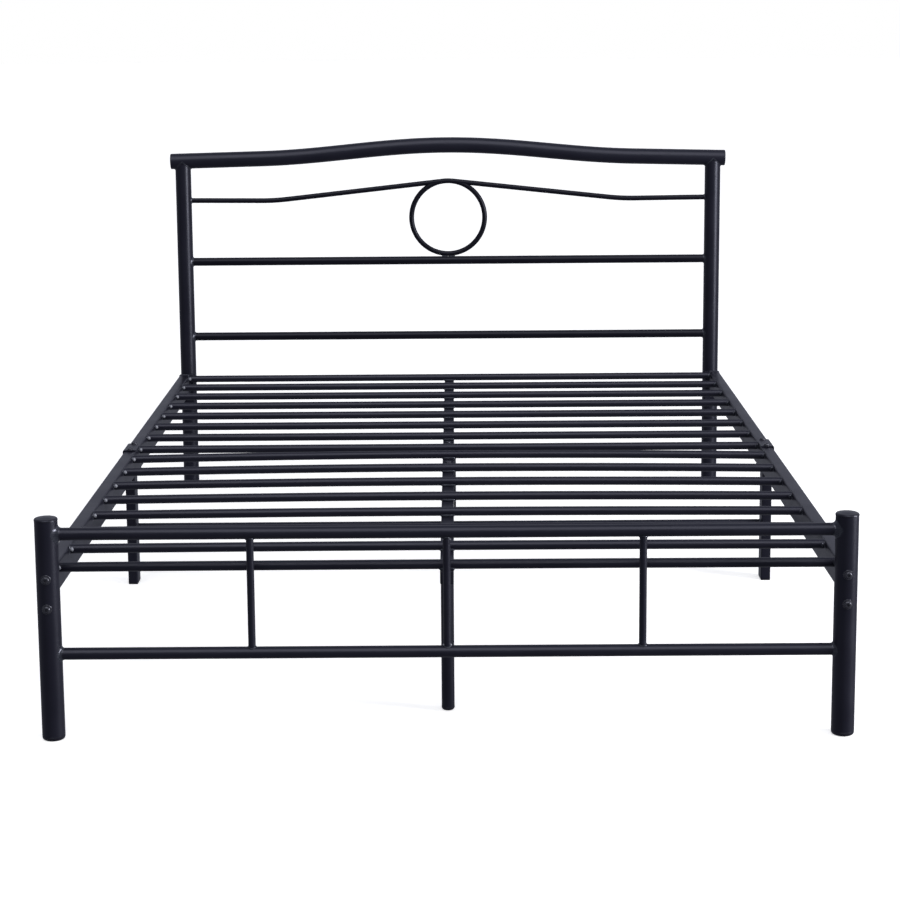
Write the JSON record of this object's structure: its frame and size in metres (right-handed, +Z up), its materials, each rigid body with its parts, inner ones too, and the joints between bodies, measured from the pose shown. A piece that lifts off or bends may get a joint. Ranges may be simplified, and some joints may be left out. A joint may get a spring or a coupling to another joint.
{
  "type": "metal bed frame",
  "caption": "Tubular steel double bed frame: arched headboard with a ring and scroll rods, low footboard, split side rails, round cross slats, centre rail and support legs.",
  "frame": {"origin": "on the floor, below the middle of the bed: the centre of the bounding box's bottom face", "axes": "+Z up; +Y from the footboard towards the headboard; +X to the right for someone who stands at the foot end and faces the headboard"},
  "size_m": [1.4346, 1.9986, 0.912],
  "materials": {
    "powder_coat": "satin black powder coat with a slight blue cast and a fine orange-peel texture",
    "black_plastic": "moulded black polyethylene, satin",
    "bolt_steel": "black zinc-plated steel, satin"
  },
  "bodies": {
    "root": {"centre_leg_foot": "powder_coat", "centre_leg_head": "powder_coat", "centre_rail_foot": "powder_coat", "centre_rail_head": "powder_coat", "footboard_glide_left": "black_plastic", "footboard_glide_right": "black_plastic", "footboard_low_bar": "powder_coat", "footboard_post_cap_left": "black_plastic", "footboard_post_cap_right": "black_plastic", "footboard_post_left": "powder_coat", "footboard_post_right": "powder_coat", "footboard_spindle_centre": "powder_coat", "footboard_spindle_left": "powder_coat", "footboard_spindle_right": "powder_coat", "footboard_top_rail": "powder_coat", "frame_bolt_foot_left_1": "bolt_steel", "frame_bolt_foot_left_2": "bolt_steel", "frame_bolt_foot_right_1": "bolt_steel", "frame_bolt_foot_right_2": "bolt_steel", "frame_bolt_head_left_1": "bolt_steel", "frame_bolt_head_left_2": "bolt_steel", "frame_bolt_head_right_1": "bolt_steel", "frame_bolt_head_right_2": "bolt_steel", "headboard_glide_left": "black_plastic", "headboard_glide_right": "black_plastic", "headboard_low_bar": "powder_coat", "headboard_mid_bar": "powder_coat", "headboard_post_left": "powder_coat", "headboard_post_right": "powder_coat", "headboard_rail_cap_left": "black_plastic", "headboard_rail_cap_right": "black_plastic", "headboard_top_rail": "powder_coat", "joint_bracket_left": "powder_coat", "joint_bracket_right": "powder_coat", "middle_leg_left": "powder_coat", "middle_leg_right": "powder_coat", "middle_leg_stretcher": "powder_coat", "scroll_ring": "powder_coat", "scroll_rod_left": "powder_coat", "scroll_rod_right": "powder_coat", "side_rail_foot_left": "powder_coat", "side_rail_foot_right": "powder_coat", "side_rail_head_left": "powder_coat", "side_rail_head_right": "powder_coat", "slat_01": "powder_coat", "slat_02": "powder_coat", "slat_03": "powder_coat", "slat_04": "powder_coat", "slat_05": "powder_coat", "slat_06": "powder_coat", "slat_07": "powder_coat", "slat_08": "powder_coat", "slat_09": "powder_coat", "slat_10": "powder_coat", "slat_11": "powder_coat", "slat_12": "powder_coat", "slat_13": "powder_coat", "slat_14": "powder_coat", "slat_15": "powder_coat", "slat_16": "powder_coat"}
  },
  "joints": []
}
